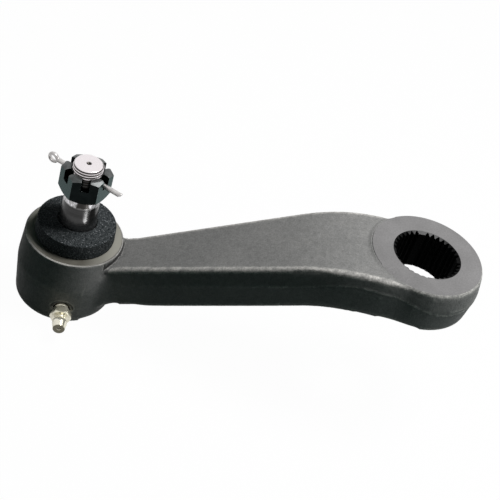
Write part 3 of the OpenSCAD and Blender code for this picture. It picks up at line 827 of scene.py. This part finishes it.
def stud_finish(name):
    """Bright turned end, thread in the nut darkened as painted shade, band under the nut rubbed and partly a
    painted reflection, ground taper darkened as a painted reflection, bright ball.
    """
    f = Finish(name)
    x, y, height = f.parts(f.moved(STUD_X * MM))
    away = f.away(x, y)
    # Tones up the stud, with borders that wander: 0 is at z = -50 mm and 1 at z = 0
    z = f.math("ADD", height, f.span(f.noise(420, 3, 0.6), -0.9 * MM, 0.9 * MM))
    along = f.span(z, 0.0, 1.0, -50 * MM, 0.0)
    # Painted light in these tones: the dark taper stands in for the dark foam it reflects, the bright band
    # under the nut partly for a reflection, and the dark thread inside the nut for shade
    tone = f.ramp(along, (0.06, 0.5), (0.1, 0.2), (0.32, 0.18), (0.38, 0.07), (0.43, 0.042), (0.515, 0.045),
                  (0.535, 0.42), (0.605, 0.4), (0.615, 0.03), (0.835, 0.035), (0.85, (0.84, 0.79, 0.805)))
    # Painted shade in the centre mark and between the threads
    far = f.times(away, 100.0)
    tone = f.mix(f.ramp(far, (0.1, 1.0), (0.135, 0.0)), tone, (0.04, 0.038, 0.036))
    below = f.span(height, 1.0, 0.0, (STUD_END_Z - 0.5) * MM, (STUD_END_Z - 0.3) * MM)
    deep = f.times(below, f.ramp(far, (0.655, 1.0), (0.695, 0.0)))
    thread_root_shade = f.times(deep, f.ramp(along, (0.605, 0.0), (0.615, 1.0)))
    tone = f.mix(thread_root_shade, tone, (0.022, 0.019, 0.016))
    # Turning lines and stains
    lines = f.add("ShaderNodeCombineXYZ", {"X": f.times(away, 5200.0), "Z": f.times(height, 2600.0)})
    brushed = f.noise(1.0, 4, 0.7, lines.outputs[0])
    stain = f.noise(1400, 3, 0.6)
    colour = f.overlay(0.7, tone, stain, (0.3, (0.4, 0.4, 0.41)), (0.5, 0.5), (0.7, (0.6, 0.585, 0.575)))
    colour = f.overlay(0.8, colour, brushed, (0.3, 0.3), (0.5, 0.5), (0.7, 0.68))
    # The rubbed band under the nut: a painted dark reflection at its front, bright flakes elsewhere, partly
    # painted reflection
    band = f.ramp(along, (0.512, 0.0), (0.535, 1.0), (0.6, 1.0), (0.615, 0.0))
    towards = f.math("ADD", f.times(x, 25.0), f.times(y, -96.8))
    painted_dark_reflection = f.times(band, f.ramp(towards, (0.74, 0.0), (0.78, 1.0)))
    colour = f.mix(painted_dark_reflection, colour, (0.03, 0.028, 0.026))
    band = f.math("SUBTRACT", band, painted_dark_reflection)
    flakes_and_glints = f.times(band, f.ramp(f.noise(900, 2, 0.5), (0.48, 0.0), (0.6, 1.0)))
    colour = f.mix(flakes_and_glints, colour, (0.86, 0.84, 0.88))
    rough = f.math("ADD", f.span(brushed, 0.13, 0.3), f.times(band, 0.25))
    return f.done(colour, rough, f.bump(brushed, 0.02 * MM, 0.4), metallic=0.88)


def black_oxide(name):
    """Black, cloudy and glossy, on the nut."""
    f = Finish(name)
    cloud = f.noise(180, 4, 0.6)
    grain = f.noise(2200, 2, 0.5)
    colour = f.mix(f.ramp(cloud, (0.3, 0.0), (0.7, 1.0)), (0.002, 0.0027, 0.0028), (0.006, 0.008, 0.0082))
    return f.done(colour, f.span(cloud, 0.2, 0.32), f.bump(grain, 0.012 * MM, 0.5), metallic=0.92,
                  ior=1.25, specular_tint=(0.84, 0.98, 0.97, 1.0))


def foam(name):
    """Black open foam, with cells that catch the light here and there."""
    f = Finish(name)
    cells = f.add("ShaderNodeTexVoronoi", {"Vector": f.coords, "Scale": 900.0},
                  feature="F1").outputs["Distance"]
    grain = f.noise(1100, 4, 0.7)
    sparks = f.noise(1500, 2, 0.6)
    colour = f.mix(f.ramp(grain, (0.35, 0.0), (0.7, 1.0)), (0.006, 0.009, 0.01), (0.08, 0.088, 0.092))
    colour = f.mix(f.ramp(sparks, (0.59, 0.0), (0.7, 1.0)), colour, (0.27, 0.28, 0.29))
    deep = f.bump(cells, 0.35 * MM, 0.9)
    return f.done(colour, f.span(grain, 0.6, 0.95), f.bump(grain, 0.14 * MM, 0.8, deep), ior=1.15)


def zinc(name):
    """Yellowish zinc on the grease fitting, its end darkened by grease and by painted shade."""
    f = Finish(name)
    cloud = f.noise(420, 3, 0.6)
    tint = f.noise(130, 3, 0.55)
    colour = f.mix(f.ramp(tint, (0.35, 0.0), (0.66, 1.0)), (0.76, 0.725, 0.58), (0.9, 0.865, 0.75))
    colour = f.mix(f.ramp(cloud, (0.52, 0.0), (0.72, 0.75)), colour, (0.26, 0.23, 0.14))
    x, y, _ = f.parts(f.coords)
    out = f.math("ADD", f.times(x, math.cos(FITTING_ANGLE)), f.times(y, math.sin(FITTING_ANGLE)))
    tip = STUD_X * math.cos(FITTING_ANGLE) + SPOT_R + FITTING_REACH
    # The end face, darkened by grease and painted shade
    greased_shaded_end = f.span(out, 0.0, 1.0, (tip - 0.55) * MM, (tip - 0.2) * MM)
    colour = f.mix(greased_shaded_end, colour, (0.14, 0.13, 0.095))
    return f.done(colour, f.span(cloud, 0.14, 0.3), f.bump(cloud, 0.02 * MM, 0.4), metallic=0.72)


def give(obj, material):
    """Makes a material the only one of an object."""
    obj.data.materials.clear()
    obj.data.materials.append(material)


forging = phosphate("forged_phosphate", (0.27, 0.266, 0.26), (0.225, 0.224, 0.22), (0.61, 0.59, 0.56))
facing = machined("faced_phosphate", (0.26, 0.253, 0.254), (0.205, 0.2, 0.2))
# Dark brown land, going over to a lighter tone at the left and right, which is painted light
rim_land = machined("rim_land", (0.15, 0.142, 0.12), (0.085, 0.079, 0.066), STUD_X * MM,
                    (0.34, 0.33, 0.29), (8 * MM, 20 * MM))
# A bright thin line on the rim's outer chamfer, fading out to the right: wear and a painted highlight
rubbed_edge_highlight = machined("rubbed_edge_highlight", (0.85, 0.82, 0.77), (0.4, 0.38, 0.35), STUD_X * MM,
                       (0.2, 0.19, 0.175), (-0.1 * MM, 18 * MM))
# Near-black phosphate as painted shade inside the splined bore and in the recess round the grease fitting's
# thread
recess_shade_black = phosphate("recess_shade_black", (0.005, 0.0052, 0.0052), (0.002, 0.0022, 0.0022),
                       (0.012, 0.012, 0.012), 1.07)
bore_edge = machined("bore_edge", (0.19, 0.186, 0.186), (0.12, 0.118, 0.118), 0.0,
                     (0.005, 0.005, 0.005), (4 * MM, 10.5 * MM))
wire_steel = steel("wire_steel", (0.72, 0.7, 0.69), (0.44, 0.42, 0.41), 0.28, 400, 0.6)
plain_steel = steel("plain_steel", (0.36, 0.36, 0.36), (0.26, 0.26, 0.26), 0.4, 300)

# The pieces, each with its finish and the body that it rides on

arm = forged_arm()
give(arm, forging)
for index, (finish, test) in enumerate((
        (facing, lambda p, n: abs(p.z) < 0.02 and n.z > 0.9),
        (bore_edge, lambda p, n: from_bore(p) < 18.1 and 0.5 < abs(n.z) < 0.95
         and (p.z > -2.4 or p.z < -19.5)),
        # Painted shade on the bore's wall
        (recess_shade_black, lambda p, n: from_bore(p) < 16.2 and -22.5 < p.z < -0.02 and abs(n.z) < 0.3),
        # Painted shade and grease in the recess round the fitting's thread
        (recess_shade_black, lambda p, n: p.y < -20 and n.y < -0.3 and beside_fitting(p) < 4.05
         and out_of_fitting(p) < -0.05),
        (rim_land, lambda p, n: p.x < -130 and abs(p.z - RIM_Z) < 0.02 and n.z > 0.9),
        # Wear and painted highlight on the rim's outer chamfer
        (rubbed_edge_highlight, lambda p, n: p.x < -130 and RIM_Z - 0.6 < p.z < RIM_Z - 0.02
         and 0.4 < n.z < 0.95 and 22 < from_stud(p) < 23.3)), 1):
    arm.data.materials.append(finish)
    edit(arm)
    arm.active_material_index = index
    choose(arm, test, "FACE")
    bpy.ops.object.material_slot_assign()
deselect()
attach(arm, "arm")
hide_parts("arm_forging")

stud = threaded_stud()
give(stud, stud_finish("stud_steel"))
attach(stud, "stud")
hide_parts("ball_stud")

nut = castle_nut()
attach(nut, "stud")
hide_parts("castle_nut")

pin = cotter_pin()
give(pin, wire_steel)
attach(pin, "stud")
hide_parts("cotter_pin")

seal = foam_seal()
give(seal, foam("black_foam"))
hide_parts("dust_seal")
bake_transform(seal)

fitting = grease_fitting()
give(fitting, zinc("yellow_zinc"))
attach(fitting, "arm")
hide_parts("grease_fitting")

bearing_bronze = steel("sintered_bronze", (0.3, 0.24, 0.17), (0.2, 0.155, 0.11), 0.5, 200, 0.8)
spring_blue = steel("spring_temper", (0.19, 0.195, 0.21), (0.11, 0.112, 0.12), 0.34, 300)
cover_zinc = steel("pressed_cover", (0.34, 0.34, 0.33), (0.22, 0.22, 0.215), 0.42, 120, 0.7)
coil = check_coil()
give(coil, spring_blue)
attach(coil, "arm")
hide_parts("check_spring")
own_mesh(coil)

# Solids that are shown as they are
for node, finish in (("upper_bearing", bearing_bronze), ("lower_bearing", bearing_bronze),
                     ("preload_spring", spring_blue), ("cover_plate", cover_zinc),
                     ("check_ball", plain_steel)):
    give(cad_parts[node], finish)


# Floor, light and camera

def seen_rays(tree):
    """1 for what the camera sees, straight or by gloss or glass, and 0 for light thrown on things."""
    rays = tree.nodes.new("ShaderNodeLightPath").outputs
    seen = rays["Is Camera Ray"]
    for kind in ("Is Glossy Ray", "Is Transmission Ray"):
        either = tree.nodes.new("ShaderNodeMath")
        either.operation = "MAXIMUM"
        tree.links.new(seen, either.inputs[0])
        tree.links.new(rays[kind], either.inputs[1])
        seen = either.outputs[0]
    return seen


def white_floor():
    """White where it is seen, dim in the light that it throws back."""
    material = bpy.data.materials.new("white_floor")
    material.use_nodes = True
    tree = material.node_tree
    tree.nodes.clear()
    matte = tree.nodes.new("ShaderNodeBsdfDiffuse")
    matte.inputs["Color"].default_value = (0.9, 0.9, 0.9, 1)
    dim = tree.nodes.new("ShaderNodeBsdfDiffuse")
    dim.inputs["Color"].default_value = (0.06, 0.082, 0.078, 1)
    glow = tree.nodes.new("ShaderNodeEmission")
    glow.inputs["Strength"].default_value = 1.0
    pale = tree.nodes.new("ShaderNodeMixShader")
    pale.inputs[0].default_value = 0.98
    both = tree.nodes.new("ShaderNodeMixShader")
    tree.links.new(seen_rays(tree), both.inputs[0])
    for mixed, first, second in ((pale, matte, glow), (both, dim, pale)):
        tree.links.new(first.outputs[0], mixed.inputs[1])
        tree.links.new(second.outputs[0], mixed.inputs[2])
    tree.links.new(both.outputs[0], tree.nodes.new("ShaderNodeOutputMaterial").inputs[0])
    return material


deselect()
bpy.ops.mesh.primitive_plane_add(size=6, location=(0, 0, (FOOT_Z - 0.3) * MM))
floor = settle(named("studio_floor"))
floor.data.materials.append(white_floor())

world = bpy.data.worlds.new("studio")
bpy.context.scene.world = world
world.use_nodes = True
tree = world.node_tree
level = tree.nodes.new("ShaderNodeMix")
level.data_type = "RGBA"
level.inputs[6].default_value = (0.012, 0.023, 0.021, 1)
level.inputs[7].default_value = (1, 1, 1, 1)
tree.links.new(seen_rays(tree), level.inputs[0])
tree.links.new(level.outputs[2], tree.nodes["Background"].inputs["Color"])


def lamp(name, at, towards, size, power, tint=(1, 1, 1)):
    """A round soft lamp at a place, turned towards another, in metres and watts."""
    light = bpy.data.lights.new(name, "AREA")
    light.shape = "DISK"
    light.size = size
    light.energy = power
    light.color = tint
    obj = bpy.data.objects.new(name, light)
    bpy.context.scene.collection.objects.link(obj)
    obj.location = at
    obj.rotation_euler = (Vector(towards) - Vector(at)).to_track_quat("-Z", "Y").to_euler()
    return obj


lamp("key_softbox", (0.13, 0.09, 0.57), (-0.05, 0, -0.03), 0.28, 4.3)
lamp("side_fill", (0.44, -0.1, -0.02), (0, 0, -0.012), 0.15, 0.37, (0.93, 1.0, 0.99))
# A small lamp that only glossy rays see, for the streak on the stud's shank
strip = lamp("low_strip", (-0.118, -0.0363, -0.0696), (-0.154, -0.0079, -0.031), 0.022, 0.0018)
strip.data.spread = math.radians(50)
strip.visible_camera = False
strip.visible_diffuse = False

# The photograph's camera, as fitted to places known on the part
right = Vector((0.9602, 0.1320, 0.2464))
up = Vector((-0.2729, 0.6329, 0.7246))
back = Vector((-0.0603, -0.7629, 0.6437))
camera = bpy.data.objects.new("photo_camera", bpy.data.cameras.new("photo_camera"))
bpy.context.scene.collection.objects.link(camera)
camera.data.lens = 86.4
camera.data.sensor_width = 36
camera.data.clip_start = 0.01
camera.matrix_world = Matrix.Translation((-0.11036, -0.42355, 0.33115)) @ Matrix(
    (right, up, back)).transposed().to_4x4()
bpy.context.scene.camera = camera
bpy.context.scene.view_settings.view_transform = "Standard"
